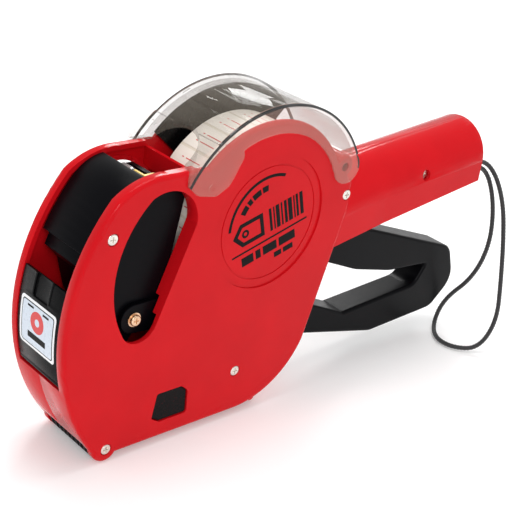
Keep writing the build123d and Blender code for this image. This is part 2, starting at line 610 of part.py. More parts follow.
def guide_roller():
    return tube(GUIDE_C, GUIDE_R, SHAFT_R + RUN_FIT, -10.8, 10.8)


def base_cover():
    """Bottom flap that the gun stands on: a shallow tray hinged at the rear."""
    floor_plate = slab(rounded([(-34.5, 1.2), (-33.0, 0.0), (30.0, 0.0), (31.5, 1.2), (31.5, 3.0), (-34.5, 3.0)],
                               0.6), -BASE_HALF, BASE_HALF)
    tray = floor_plate - slab(poly((-32.5, 1.8), (-32.5, 5), (29.5, 5), (29.5, 1.8)), -BASE_HALF + 1.8,
                              BASE_HALF - 1.8)
    hinge_arm = slab(poly((29.0, 1.2), (29.0, 3.6), (34.5, 6.6), (36.0, 4.0), (33.0, 2.8)), -BASE_HALF, BASE_HALF)
    barrel = rod(BASE_HINGE, 1.9, -BASE_HALF, BASE_HALF) + rod(BASE_HINGE, HINGE_PIN_R, -INNER + 0.6, INNER - 0.6)
    hooks = slab(poly((-14.0, 2.6), (-14.0, 8.4), (-8.0, 8.4), (-8.0, 2.6)), -BASE_HALF + 0.1, -BASE_HALF + 1.7)
    return tray + hinge_arm + barrel + both_sides(hooks)


def latch_button():
    """Left base latch button: pressed inwards to free the flap."""
    face = slab(latch_outline(-0.3), -HALF + 0.5, -INNER + 0.4)
    flange = slab(offset(latch_outline(0), amount=1.2), -INNER + 0.35, -INNER + 1.6)
    return face + flange


def latch_springs():
    """Short coil springs behind the two latch buttons, drawn as their outer sleeves."""
    left = tube((-10.5, 16.6), 2.2, 1.5, -INNER + 3.2, -11.0)
    return Compound(children=[left, mirror(left, Plane.XZ)])


def return_spring():
    """Coil spring from its pin on the right casing half up to the lever's cross block."""
    radius, wire, turns = 1.5, 0.3, 9
    base_z, top_z = SPRING_PIN[1] + 1.6, 28.6
    helix = Helix(pitch=(top_z - base_z) / turns, height=top_z - base_z, radius=radius)
    ring = Plane(origin=helix @ 0, z_dir=helix % 0) * Circle(wire)
    return Pos(SPRING_PIN[0], SPRING_Y, base_z) * sweep(ring, path=helix, is_frenet=True)


# ---------------------------------------------------------------- wrist strap
STRAP_START = (HANDLE_END - END_WALL, STRAP_HOLE[0], STRAP_HOLE[1] - STRAP_PITCH / 2)
STRAP_FINISH = (HANDLE_END - END_WALL, STRAP_HOLE[0], STRAP_HOLE[1] + STRAP_PITCH / 2)
STRAP_LOOP = [           # bends of the strap, x measured from the handle's end
    (5.0, STRAP_START[1], STRAP_START[2]), (11.2, -14.6, 80.4), (10.0, -21.6, 67.6),
    (7.8, -25.5, 50.0), (6.5, -21.0, 31.0), (4.2, -9.4, 15.0), (0.2, -8.6, 2.2), (-10.0, -19.0, 1.3),
    (-9.0, -30.0, 1.3), (0.5, -37.5, 2.2), (8.0, -39.0, 16.0), (8.0, -36.0, 36.0),
    (8.5, -31.5, 57.0), (10.0, -26.0, 72.0), (12.0, -17.0, 83.0), (6.5, STRAP_FINISH[1], STRAP_FINISH[2])]
STRAP_ROUTE = [STRAP_START, *((HANDLE_END + x, y, z) for x, y, z in STRAP_LOOP), STRAP_FINISH]


def strap_radii(route):
    """Largest tangent arc that each corner's two runs allow."""
    radii = []
    for a, b, c in zip(route, route[1:], route[2:]):
        run_in, run_out = Vector(*b) - Vector(*a), Vector(*c) - Vector(*b)
        turn = run_in.get_angle(run_out)
        radii.append(0.45 * min(run_in.length, run_out.length) / tan(radians(turn / 2)))
    return radii


def wrist_strap():
    radii = strap_radii(STRAP_ROUTE)
    path = FilletPolyline(*STRAP_ROUTE, radius=radii)
    section = Plane(origin=path @ 0, z_dir=path % 0) * Circle(STRAP_D / 2)
    strap = sweep(section, path=path)
    runs = [(Vector(*b) - Vector(*a)).length for a, b in zip(STRAP_ROUTE, STRAP_ROUTE[1:])]
    print("strap runs", [round(r, 1) for r in runs])
    print("strap radii", [round(r, 1) for r in radii])
    print("strap length", round(path.length, 1), "volume ratio",
          round(strap.volume / (path.length * 3.14159265 * STRAP_D ** 2 / 4), 4))
    return strap


def strap_ferrule():
    """Crimped ferrule behind the handle's end wall that joins the strap's ends."""
    x1 = HANDLE_END - END_WALL
    block = Pos(x1 - 2.5, STRAP_HOLE[0] + 0.3, STRAP_HOLE[1]) * Box(5.0, 3.6, 8.2)
    return chamfer(block.edges().filter_by(Axis.X), 0.5)


# ---------------------------------------------------------------- write every piece
def main():
    left_casing, right_casing = casings()
    paper, core = label_roll()
    holder = roll_holder()
    felt, ink_core, ink_axle = ink_roller()
    arm = yoke_arm()
    button = latch_button()
    parts = {
        "left_casing": left_casing, "right_casing": right_casing, "casing_screws": casing_screws(),
        "label_cover": label_cover(),
        "label_roll": paper, "roll_core": core,
        "roll_holder_left": holder, "roll_holder_right": mirror(holder, Plane.XZ),
        "roll_guide": roll_guide(),
        "trigger_lever": trigger_lever(), "yoke_arm_left": arm, "yoke_arm_right": mirror(arm, Plane.XZ),
        "yoke_screws": yoke_screws(),
        "head_frame": head_frame(), "head_cover": head_cover(), "head_window": head_window(),
        "number_bands": number_bands(), "band_wheels": band_wheels(), "band_anvil": band_anvil(),
        "digit_pointer": digit_pointer(), "selector_shaft": selector_shaft(), "selector_knob": selector_knob(),
        "front_cover": front_cover(), "front_sticker": front_sticker(),
        "ink_holder": ink_holder(), "ink_roller": felt, "ink_core": ink_core, "ink_axle": ink_axle,
        "label_plate": label_plate(),
        "application_roller": application_roller(), "application_shaft": application_sleeve(),
        "feed_wheel": feed_wheel(), "feed_shaft": cross_shaft(FEED_C),
        "guide_roller": guide_roller(), "guide_shaft": cross_shaft(GUIDE_C),
        "base_cover": base_cover(), "latch_button_left": button,
        "latch_button_right": mirror(button, Plane.XZ), "latch_springs": latch_springs(),
        "return_spring": return_spring(),
        "wrist_strap": wrist_strap(), "strap_ferrule": strap_ferrule(),
    }
    os.makedirs("parts", exist_ok=True)
    for name, part in parts.items():
        export_step(part, f"parts/{name}.step")


main()
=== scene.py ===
"""Hand-held price labeling gun: finishes, printed artwork, label roll and wrist strap."""
import math

import bmesh
import bpy
from mathutils import Matrix, Vector


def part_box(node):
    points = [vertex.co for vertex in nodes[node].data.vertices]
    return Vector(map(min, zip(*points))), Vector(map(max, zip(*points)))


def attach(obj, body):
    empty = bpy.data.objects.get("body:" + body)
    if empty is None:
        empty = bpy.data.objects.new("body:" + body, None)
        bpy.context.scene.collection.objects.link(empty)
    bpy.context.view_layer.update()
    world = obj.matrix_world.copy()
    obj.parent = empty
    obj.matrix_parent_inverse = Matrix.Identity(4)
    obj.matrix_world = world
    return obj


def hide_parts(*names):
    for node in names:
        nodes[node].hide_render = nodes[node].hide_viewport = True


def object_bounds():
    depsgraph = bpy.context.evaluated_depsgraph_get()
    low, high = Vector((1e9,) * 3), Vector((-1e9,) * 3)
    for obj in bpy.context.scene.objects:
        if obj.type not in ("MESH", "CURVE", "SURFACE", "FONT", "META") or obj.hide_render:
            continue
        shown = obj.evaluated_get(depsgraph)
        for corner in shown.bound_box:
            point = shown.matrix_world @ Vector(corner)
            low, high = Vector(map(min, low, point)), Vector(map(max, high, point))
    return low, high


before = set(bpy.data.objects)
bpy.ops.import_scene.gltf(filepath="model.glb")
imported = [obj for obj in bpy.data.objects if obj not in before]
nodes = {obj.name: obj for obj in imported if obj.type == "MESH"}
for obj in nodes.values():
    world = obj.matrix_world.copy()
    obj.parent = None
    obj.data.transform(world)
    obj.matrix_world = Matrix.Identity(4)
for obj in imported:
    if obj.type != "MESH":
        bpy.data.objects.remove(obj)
cad_low, cad_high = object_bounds()

# ------------------------------------------------------------------ viewpoint
# The gun is seen from its front left corner, from a little above, with a long lens and a
# slight roll to the left. The camera stands half a metre away.
eye = Vector((-0.27424, -0.31815, 0.27415))
eye_right = Vector((0.74438, -0.65542, 0.12777))
eye_up = Vector((0.19795, 0.39932, 0.89519))
eye_back = eye_right.cross(eye_up).normalized()

camera_data = bpy.data.cameras.new("view_camera")
camera_data.lens = 84.7
camera_data.sensor_width = 36.0
camera_data.clip_start = 0.02
camera_data.clip_end = 20.0
camera = bpy.data.objects.new("view_camera", camera_data)
camera.matrix_world = Matrix.Translation(eye) @ Matrix((eye_right, eye_up, eye_back)).transposed().to_4x4()
bpy.context.scene.collection.objects.link(camera)
bpy.context.scene.camera = camera

# ------------------------------------------------------------------ floor and light
# A white studio table and a bright room around it. One large soft panel stands to the
# front left, one hangs above, and a small one behind draws the edges.
floor_mesh = bpy.data.meshes.new("studio_floor")
floor_form = bmesh.new()
bmesh.ops.create_grid(floor_form, x_segments=1, y_segments=1, size=4.0)
floor_form.to_mesh(floor_mesh)
floor_form.free()
studio_floor = bpy.data.objects.new("studio_floor", floor_mesh)
studio_floor.location.z = cad_low.z - 0.0002
bpy.context.scene.collection.objects.link(studio_floor)

floor_paint = bpy.data.materials.new("floor_paint")
floor_paint.use_nodes = True
floor_shader = floor_paint.node_tree.nodes["Principled BSDF"]
floor_shader.inputs["Base Color"].default_value = (0.9, 0.9, 0.9, 1.0)
floor_shader.inputs["Roughness"].default_value = 0.75
floor_shader.inputs["Specular IOR Level"].default_value = 0.1
floor_shader.inputs["Emission Color"].default_value = (1.0, 1.0, 1.0, 1.0)
floor_shader.inputs["Emission Strength"].default_value = 0.14
floor_mesh.materials.append(floor_paint)

room = bpy.data.worlds.new("studio_room")
room.use_nodes = True
room.node_tree.nodes["Background"].inputs["Color"].default_value = (1.0, 1.0, 1.0, 1.0)
room.node_tree.nodes["Background"].inputs["Strength"].default_value = 0.72
bpy.context.scene.world = room
bpy.context.scene.view_settings.view_transform = "Standard"

gun_middle = (cad_low + cad_high) / 2


def soft_panel(name, offset, size, power):
    """A square light panel that faces the gun."""
    data = bpy.data.lights.new(name, "AREA")
    data.shape = "SQUARE"
    data.size = size
    data.energy = power
    panel = bpy.data.objects.new(name, data)
    panel.location = gun_middle + Vector(offset)
    panel.rotation_mode = "QUATERNION"
    panel.rotation_quaternion = Vector(offset).to_track_quat("Z", "Y")
    bpy.context.scene.collection.objects.link(panel)


soft_panel("panel_front_left", (-0.55, -0.75, 0.55), 0.3, 3.0)
soft_panel("panel_top", (0.05, 0.1, 0.95), 0.5, 4.0)
soft_panel("panel_behind", (0.5, 0.6, 0.5), 0.25, 2.5)


# ------------------------------------------------------------------ casing halves
# Two mirror halves of glossy red ABS, injection moulded and closed with screws. The mould
# is polished, so the skin has only a faint ripple and fine handling marks.
def new_finish(name, roughness):
    """A material with its shader ready: returns the material, its node tree and its shader."""
    material = bpy.data.materials.new(name)
    material.use_nodes = True
    shader = material.node_tree.nodes["Principled BSDF"]
    shader.inputs["Roughness"].default_value = roughness
    return material, material.node_tree, shader


def surface_noise(tree, scale, detail=3.0, stretch=(1.0, 1.0, 1.0)):
    """Noise fixed to the piece, with scale in lumps per metre."""
    place = tree.nodes.new("ShaderNodeTexCoord")
    spread = tree.nodes.new("ShaderNodeMapping")
    spread.inputs["Scale"].default_value = stretch
    noise = tree.nodes.new("ShaderNodeTexNoise")
    noise.inputs["Scale"].default_value = scale
    noise.inputs["Detail"].default_value = detail
    tree.links.new(place.outputs["Object"], spread.inputs["Vector"])
    tree.links.new(spread.outputs["Vector"], noise.inputs["Vector"])
    return noise.outputs["Fac"]


def between(tree, value, low, high, start=0.3, end=0.7):
    """Stretches a noise value to run from low to high."""
    span = tree.nodes.new("ShaderNodeMapRange")
    span.inputs["From Min"].default_value = start
    span.inputs["From Max"].default_value = end
    span.inputs["To Min"].default_value = low
    span.inputs["To Max"].default_value = high
    tree.links.new(value, span.inputs["Value"])
    return span.outputs["Result"]


def tinted(tree, value, colour, darker, lighter):
    """Colour that drifts between a darker and a lighter shade."""
    ramp = tree.nodes.new("ShaderNodeValToRGB")
    ramp.color_ramp.elements[0].position = 0.3
    ramp.color_ramp.elements[1].position = 0.7
    ramp.color_ramp.elements[0].color = (*[c * darker for c in colour], 1.0)
    ramp.color_ramp.elements[1].color = (*[min(c * lighter, 1.0) for c in colour], 1.0)
    tree.links.new(value, ramp.inputs["Fac"])
    return ramp.outputs["Color"]


def relief(tree, shader, *layers):
    """Stacks bump layers, each a (value, depth in metres, strength)."""
    normal = None
    for value, depth, strength in layers:
        bump = tree.nodes.new("ShaderNodeBump")
        bump.inputs["Distance"].default_value = depth
        bump.inputs["Strength"].default_value = strength
        tree.links.new(value, bump.inputs["Height"])
        if normal is not None:
            tree.links.new(normal, bump.inputs["Normal"])
        normal = bump.outputs["Normal"]
    tree.links.new(normal, shader.inputs["Normal"])


def moulded_plastic(name, colour, roughness, grain, depth, ior=1.45):
    """Moulded plastic: grain is the size of the mould texture in metres, depth its height."""
    material, tree, shader = new_finish(name, roughness)
    patches = surface_noise(tree, 45.0)
    marks = surface_noise(tree, 500.0, 5.0)
    mould_grain = surface_noise(tree, 1.0 / grain, 2.0)
    tree.links.new(tinted(tree, patches, colour, 0.94, 1.05), shader.inputs["Base Color"])
    tree.links.new(between(tree, marks, roughness - 0.03, roughness + 0.04), shader.inputs["Roughness"])
    relief(tree, shader, (patches, 0.0003, 0.05), (mould_grain, depth, 0.25))
    shader.inputs["IOR"].default_value = ior
    return material


def wear(name, material):
    """Gives a carried-over part its finish."""
    mesh = nodes[name].data
    mesh.materials.clear()
    mesh.materials.append(material)


def soften(name, width, segments=2):
    """Rounds a part's sharp moulded edges."""
    weld = nodes[name].modifiers.new("close_seams", "WELD")
    weld.merge_threshold = 2e-6
    flats = nodes[name].modifiers.new("merge_flats", "DECIMATE")
    flats.decimate_type = "DISSOLVE"
    flats.angle_limit = math.radians(0.4)
    edge = nodes[name].modifiers.new("round_edges", "BEVEL")
    edge.width = width
    edge.segments = segments
    edge.limit_method = "ANGLE"
    edge.angle_limit = math.radians(38.0)
    edge.harden_normals = True
    edge.miter_outer = "MITER_ARC"


red_abs = moulded_plastic("red_abs", (0.57, 0.0055, 0.0100), 0.16, 0.0011, 0.000006, ior=1.2)
for half in ("left_casing", "right_casing"):
    wear(half, red_abs)
    soften(half, 0.00025)


# ------------------------------------------------------------------ casing screws
# Nickel-plated steel screws with cross recesses, driven into moulded posts from the left
# side. Their heads sit level with the casing in counterbores.
def turned_metal(name, colour, roughness, streak):
    """Plated or drawn metal with fine machining streaks along Y."""
    material, tree, shader = new_finish(name, roughness)
    shader.inputs["Metallic"].default_value = 1.0
    lines = surface_noise(tree, streak, 4.0, (1.0, 0.08, 1.0))
    spots = surface_noise(tree, 400.0)
    tree.links.new(tinted(tree, spots, colour, 0.86, 1.08), shader.inputs["Base Color"])
    tree.links.new(between(tree, lines, roughness - 0.06, roughness + 0.12), shader.inputs["Roughness"])
    relief(tree, shader, (lines, 0.00002, 0.3))
    return material


nickel_plate = turned_metal("nickel_plate", (0.78, 0.74, 0.68), 0.2, 5200.0)
wear("casing_screws", nickel_plate)
soften("casing_screws", 0.00009)


# ------------------------------------------------------------------ badge print
# One-colour pad print in the shallow round dish of the left half, tilted with the handle:
# an arc, a price tag with a bar code beside it, a rule, and rows of plain bars.
def ribbon(form, side_a, side_b, place, thickness, closed=False):
    """A thin solid layer between two matched rows of (across, along) points, laid by place."""
    rows = []
    for a, b in zip(side_a, side_b):
        rows.append([form.verts.new(place(*p, lift)) for lift in (0.0, thickness) for p in (a, b)])
    ends = list(zip(rows, rows[1:])) + ([(rows[-1], rows[0])] if closed else [])
    for (a0, b0, a1, b1), (c0, d0, c1, d1) in ends:
        form.faces.new((a1, b1, d1, c1))
        form.faces.new((a0, c0, d0, b0))
        form.faces.new((a0, a1, c1, c0))
        form.faces.new((b0, d0, d1, b1))
    if not closed:
        for a0, b0, a1, b1 in (rows[0], rows[-1]):
            form.faces.new((a0, b0, b1, a1))


def bar(form, low, high, place, thickness, steps=1):
    """A plain printed bar from its low to its high (across, along) corner."""
    rows = [low[1] + (high[1] - low[1]) * i / steps for i in range(steps + 1)]
    ribbon(form, [(low[0], v) for v in rows], [(high[0], v) for v in rows], place, thickness)


def ring_part(form, centre, r_in, r_out, start, end, place, thickness, steps=24):
    """Part of a printed ring, angles in degrees."""
    turns = [math.radians(start + (end - start) * i / steps) for i in range(steps + 1)]
    closed = end - start >= 360
    turns = turns[:-1] if closed else turns
    sides = [[(centre[0] + r * math.cos(t), centre[1] + r * math.sin(t)) for t in turns]
             for r in (r_in, r_out)]
    ribbon(form, sides[0], sides[1], place, thickness, closed)


def make_piece(form, name, material, body, smooth=False):
    """Turns a finished form into a piece that rides on a body."""
    bmesh.ops.recalc_face_normals(form, faces=form.faces)
    mesh = bpy.data.meshes.new(name)
    form.to_mesh(mesh)
    form.free()
    mesh.materials.append(material)
    for face in mesh.polygons:
        face.use_smooth = smooth
    piece = bpy.data.objects.new(name, mesh)
    bpy.context.scene.collection.objects.link(piece)
    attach(piece, body)
    return piece


badge_middle = Vector((0.0299, -0.0173, 0.0869))
badge_tilt = math.radians(16.0)
ink_thickness = 0.00005


def on_badge(across, up, lift):
    """A point of the dish's floor, measured along the print's own level."""
    c, s = math.cos(badge_tilt), math.sin(badge_tilt)
    return badge_middle + Vector((across * c - up * s, -lift, across * s + up * c))


badge_form = bmesh.new()
ring_part(badge_form, (0, 0), 0.0192, 0.0205, 58, 166, on_badge, ink_thickness, 36)
for start, end in ((84, 95), (98, 114), (117, 125), (128, 142)):
    ring_part(badge_form, (0, 0), 0.0140, 0.0166, start, end, on_badge, ink_thickness, 8)
tag_corners = [(-0.0182, 0.0006), (-0.0140, 0.0058), (-0.0024, 0.0058),
               (-0.0024, -0.0046), (-0.0140, -0.0046)]
tag_inner = [(-0.0158, 0.0006), (-0.0131, 0.0040), (-0.0042, 0.0040),
             (-0.0042, -0.0028), (-0.0131, -0.0028)]
ribbon(badge_form, tag_corners, tag_inner, on_badge, ink_thickness, closed=True)
ring_part(badge_form, (-0.0118, 0.0006), 0.0008, 0.0018, 0, 360, on_badge, ink_thickness)
code_bars = ((1.3, 0.9), (0.7, 0.6), (1.9, 0.8), (0.8, 0.9), (1.4, 0.6),
             (2.1, 0.8), (0.7, 0.6), (1.2, 0.8), (1.7, 0.6))
reach = 0.0006
for width, gap in code_bars:
    bar(badge_form, (reach, -0.0046), (reach + width / 1000, 0.0058), on_badge, ink_thickness)
    reach += (width + gap) / 1000
bar(badge_form, (-0.0196, -0.0078), (0.0196, -0.0070), on_badge, ink_thickness)
for start, end in ((-0.0152, -0.0092), (-0.0080, -0.0054), (-0.0042, 0.0030), (0.0042, 0.0128)):
    bar(badge_form, (start, -0.0136), (end, -0.0096), on_badge, ink_thickness)
for start, end in ((0.0012, 0.0050), (0.0060, 0.0112)):
    bar(badge_form, (start, -0.0176), (end, -0.0152), on_badge, ink_thickness)

black_ink, ink_tree, ink_shader = new_finish("black_ink", 0.4)
ink_cover = surface_noise(ink_tree, 2500.0)
ink_shader.inputs["Specular IOR Level"].default_value = 0.08
ink_tree.links.new(tinted(ink_tree, ink_cover, (0.0030, 0.0028, 0.0030), 0.7, 1.6),
                   ink_shader.inputs["Base Color"])
relief(ink_tree, ink_shader, (ink_cover, 0.00001, 0.3))
make_piece(badge_form, "badge_print", black_ink, "casing")


# ------------------------------------------------------------------ label roll
# A full roll of 21.5 mm price labels: self-adhesive paper labels, each with two thin red
# ruled lines, on a glassine backing that is wound on a board core.
roll_low, roll_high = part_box("label_roll")
roll_middle = (roll_low + roll_high) / 2
roll_radius = (roll_high.z - roll_low.z) / 2
label_half = (roll_high.y - roll_low.y) / 2
label_thickness = 0.00012
backing_radius = roll_radius - label_thickness - 0.00004
core_radius = (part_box("roll_core")[1].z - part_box("roll_core")[0].z) / 2
label_count = 19
label_pitch = 2 * math.pi / label_count
label_gap = 0.0011


def on_roll(across, along, lift):
    """A point of the roll's outside; along is an angle."""
    r = backing_radius + lift
    return Vector((roll_middle.x + r * math.cos(along), across, roll_middle.z + r * math.sin(along)))


def lathe(form, profile, middle, steps):
    """Turns a closed (radius, across) profile about an axis along Y."""
    rings = []
    for i in range(steps):
        a = 2 * math.pi * i / steps
        rings.append([form.verts.new((middle.x + r * math.cos(a), y, middle.z + r * math.sin(a)))
                      for r, y in profile])
    for here, there in zip(rings, rings[1:] + rings[:1]):
        for j in range(len(profile)):
            k = (j + 1) % len(profile)
            form.faces.new((here[j], here[k], there[k], there[j]))


winding_count = 34
winding_step = (backing_radius - core_radius - 0.0001) / winding_count
left_side, right_side = [], []
for i in range(winding_count + 1):
    shift = 0.00007 * math.sin(i * 2.4) + 0.00004 * math.sin(i * 5.1)
    radius = core_radius + 0.0001 + i * winding_step
    left_side.append((radius, -label_half + 0.00012 + shift))
    right_side.append((radius, label_half - 0.00012 + shift))
backing_form = bmesh.new()
lathe(backing_form, left_side + right_side[::-1], roll_middle, 128)

backing_paper, paper_tree, paper_shader = new_finish("backing_paper", 0.55)
paper_fibre = surface_noise(paper_tree, 2600.0, 5.0)
paper_tone = surface_noise(paper_tree, 60.0)
paper_tree.links.new(tinted(paper_tree, paper_tone, (0.80, 0.72, 0.60), 0.93, 1.04),
                     paper_shader.inputs["Base Color"])
relief(paper_tree, paper_shader, (paper_fibre, 0.00002, 0.4))
backing = make_piece(backing_form, "label_backing", backing_paper, "roll")
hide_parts("label_roll")

label_form, line_form = bmesh.new(), bmesh.new()
half_gap = label_gap / 2 / roll_radius
line_width = 0.00042 / roll_radius
for i in range(label_count):
    start = i * label_pitch
    bar(label_form, (-label_half + 0.0003, start + half_gap),
        (label_half - 0.0003, start + label_pitch - half_gap), on_roll, label_thickness, 6)
    for share in (0.36, 0.68):
        low = start + share * label_pitch - line_width / 2
        for near, far in ((-0.86, -0.70), (-0.46, 0.30), (0.42, 0.52)):
            bar(line_form, (near * label_half, low), (far * label_half, low + line_width),
                lambda u, v, lift: on_roll(u, v, lift + label_thickness), 0.00002)

label_stock, stock_tree, stock_shader = new_finish("label_stock", 0.5)
stock_fibre = surface_noise(stock_tree, 3200.0, 5.0)
stock_tone = surface_noise(stock_tree, 90.0)
stock_tree.links.new(tinted(stock_tree, stock_tone, (0.93, 0.86, 0.77), 0.96, 1.03),
                     stock_shader.inputs["Base Color"])
relief(stock_tree, stock_shader, (stock_fibre, 0.000015, 0.4))
make_piece(label_form, "price_labels", label_stock, "roll")

line_red, line_tree, line_shader = new_finish("line_red", 0.5)
line_cover = surface_noise(line_tree, 3000.0)
line_tree.links.new(tinted(line_tree, line_cover, (0.62, 0.05, 0.05), 0.9, 1.25),
                    line_shader.inputs["Base Color"])
make_piece(line_form, "label_lines", line_red, "roll")

core_board, board_tree, board_shader = new_finish("core_board", 0.8)
board_fibre = surface_noise(board_tree, 1500.0, 5.0, (1.0, 0.3, 1.0))
board_tree.links.new(tinted(board_tree, board_fibre, (0.36, 0.27, 0.18), 0.8, 1.2),
                     board_shader.inputs["Base Color"])
relief(board_tree, board_shader, (board_fibre, 0.00005, 0.5))
wear("roll_core", core_board)

# ------------------------------------------------------------------ roll holders and guide plate
# Black ABS discs with stubs that carry the roll between the casing halves, and a black
# plate that keeps the labels off the right half.
black_abs = moulded_plastic("black_abs", (0.0022, 0.0022, 0.0026), 0.28, 0.0006, 0.00002, ior=1.19)
for holder in ("roll_holder_left", "roll_holder_right", "roll_guide"):
    wear(holder, black_abs)
    soften(holder, 0.0002)

# ------------------------------------------------------------------ roll cover
# One clear smoke-tinted polystyrene moulding: a curved top with a finger notch, and two
# thin wings that lie over the casing and turn on stubs at the rear. Its wing rims carry a
# black band of painted shade, the wings a pale painted reflection, and the rest is a smoky
# grey that deepens at a slant.
smoke_clear, smoke_tree, smoke_shader = new_finish("smoke_clear", 0.04)
smoke_shader.inputs["IOR"].default_value = 1.45
smears = surface_noise(smoke_tree, 160.0, 5.0)
smoke_tree.links.new(between(smoke_tree, smears, 0.02, 0.06), smoke_shader.inputs["Roughness"])
slant = smoke_tree.nodes.new("ShaderNodeLayerWeight")
slant.inputs["Blend"].default_value = 0.32
smoke_place = smoke_tree.nodes.new("ShaderNodeTexCoord")
smoke_axes = smoke_tree.nodes.new("ShaderNodeSeparateXYZ")
smoke_tree.links.new(smoke_place.outputs["Object"], smoke_axes.inputs["Vector"])


def worked(tree, operation, first, second=0.0, third=0.0):
    """One step of arithmetic on values of a material."""
    step = tree.nodes.new("ShaderNodeMath")
    step.operation = operation
    for i, value in enumerate((first, second, third)):
        if isinstance(value, float):
            step.inputs[i].default_value = value
        else:
            tree.links.new(value, step.inputs[i])
    return step.outputs["Value"]


cover_middle_x, cover_middle_z = 0.0295, 0.0866
rim_radius, rim_depth = 0.0489, 0.0007
wing_inside, wing_outside = 0.0181, 0.0187
smoke_least, smoke_at_slant, painted_shade_opacity = 0.08, 0.5, 0.97

cover_x = worked(smoke_tree, "SUBTRACT", smoke_axes.outputs["X"], cover_middle_x)
cover_z = worked(smoke_tree, "SUBTRACT", smoke_axes.outputs["Z"], cover_middle_z)
reach_squared = worked(smoke_tree, "MULTIPLY_ADD", cover_x, cover_x,
                       worked(smoke_tree, "MULTIPLY", cover_z, cover_z))
rim_out = worked(smoke_tree, "COMPARE", worked(smoke_tree, "SQRT", reach_squared), rim_radius, rim_depth)
cover_side = worked(smoke_tree, "ABSOLUTE", smoke_axes.outputs["Y"])
rim_side = between(smoke_tree, cover_side, 0.0, 1.0, wing_inside, wing_outside)
# Mask of the black band of painted shade along the wing rims.
rim_painted_shade = worked(smoke_tree, "MULTIPLY", rim_out, rim_side)

# Colour ramp: smoky grey-brown over the top, a pale painted reflection on the wings, black painted shade on
# the rims.
smoke_colour_with_painted_light = smoke_tree.nodes.new("ShaderNodeValToRGB")
smoke_colour_with_painted_light.color_ramp.elements[0].color = (0.17, 0.145, 0.115, 1.0)
smoke_colour_with_painted_light.color_ramp.elements[1].color = (0.004, 0.004, 0.004, 1.0)
smoke_colour_with_painted_light.color_ramp.elements.new(0.5).color = (0.62, 0.40, 0.34, 1.0)
# Half the wing mask picks the ramp's pale middle stop, a painted reflection on the wings.
wing_painted_reflection = worked(smoke_tree, "MULTIPLY", rim_side, 0.5)
smoke_tree.links.new(worked(smoke_tree, "MULTIPLY_ADD", rim_painted_shade, 0.5, wing_painted_reflection), smoke_colour_with_painted_light.inputs["Fac"])
smoke_tree.links.new(smoke_colour_with_painted_light.outputs["Color"], smoke_shader.inputs["Base Color"])

smoke_depth = worked(smoke_tree, "MULTIPLY_ADD", slant.outputs["Facing"], smoke_at_slant, smoke_least)
# The rim band of painted shade is made nearly opaque.
solid_share = worked(smoke_tree, "MAXIMUM", smoke_depth, worked(smoke_tree, "MULTIPLY", rim_painted_shade, painted_shade_opacity))
smoke_tree.links.new(worked(smoke_tree, "MINIMUM", solid_share, 1.0), smoke_shader.inputs["Alpha"])
wear("label_cover", smoke_clear)
nodes["label_cover"].visible_shadow = False
soften("label_cover", 0.00022)

# ------------------------------------------------------------------ print head
# The head is a black moulding on the lever's arms. A curved black cover closes its front
# and top, and a small clear lens lies over the digits behind the cover's edge.
head_black = moulded_plastic("head_black", (0.0016, 0.0016, 0.0026), 0.36, 0.0004, 0.00003, ior=1.16)
for part, width in (("head_frame", 0.0003), ("head_cover", 0.0003), ("ink_holder", 0.0002)):
    wear(part, head_black)
    soften(part, width)

lens_clear, lens_tree, lens_shader = new_finish("lens_clear", 0.05)
lens_shader.inputs["Base Color"].default_value = (0.92, 0.93, 0.92, 1.0)
lens_shader.inputs["Transmission Weight"].default_value = 0.8
lens_shader.inputs["IOR"].default_value = 1.5
lens_haze = surface_noise(lens_tree, 500.0)
lens_tree.links.new(between(lens_tree, lens_haze, 0.03, 0.12), lens_shader.inputs["Roughness"])
wear("head_window", lens_clear)
soften("head_window", 0.0002)

pointer_yellow = moulded_plastic("pointer_yellow", (0.78, 0.50, 0.04), 0.35, 0.0004, 0.00002)
wear("digit_pointer", pointer_yellow)
soften("digit_pointer", 0.00012)

# ------------------------------------------------------------------ number bands
# Eight rubber bands with raised figures, each on its own white wheel. The selector shaft
# turns one wheel at a time, and the bands fold round a steel bar at the printing face.
band_rubber, rubber_tree, rubber_shader = new_finish("band_rubber", 0.7)
rubber_dust = surface_noise(rubber_tree, 700.0, 4.0)
rubber_tree.links.new(tinted(rubber_tree, rubber_dust, (0.022, 0.021, 0.024), 0.7, 1.8),
                      rubber_shader.inputs["Base Color"])
relief(rubber_tree, rubber_shader, (rubber_dust, 0.00004, 0.4))
wear("number_bands", band_rubber)

white_acetal = moulded_plastic("white_acetal", (0.72, 0.71, 0.68), 0.4, 0.0005, 0.00002)
for part in ("band_wheels", "feed_wheel"):
    wear(part, white_acetal)
    soften(part, 0.00012)

bands_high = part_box("number_bands")[1]
wheel_middle = Vector((-0.030, 0.0, 0.091))
band_radius = bands_high.z - wheel_middle.z
band_count = 8
band_pitch = 0.0024
figure_step = 24.0
figures_form = bmesh.new()
for band in range(band_count):
    across = (band - (band_count - 1) / 2) * band_pitch
    for place_number in range(8):
        text = bpy.data.curves.new("figure", "FONT")
        text.body = str((place_number * 3 + band) % 10)
        text.size = 0.0028
        text.align_x = "CENTER"
        text.align_y = "CENTER"
        text.extrude = 0.00012
        text.resolution_u = 2
        figure = bpy.data.objects.new("figure", text)
        bpy.context.scene.collection.objects.link(figure)
        mesh = bpy.data.meshes.new_from_object(figure)
        lean = 150.0 - place_number * figure_step
        turn = Matrix.Rotation(math.radians(90.0 - lean), 4, "Y")
        stand = Matrix.Translation((0.0, across, band_radius)) @ Matrix.Rotation(math.radians(90), 4, "Z")
        mesh.transform(Matrix.Translation(wheel_middle) @ turn @ stand)
        figures_form.from_mesh(mesh)
        bpy.data.objects.remove(figure)
        bpy.data.curves.remove(text)
        bpy.data.meshes.remove(mesh)
make_piece(figures_form, "band_figures", band_rubber, "lever")

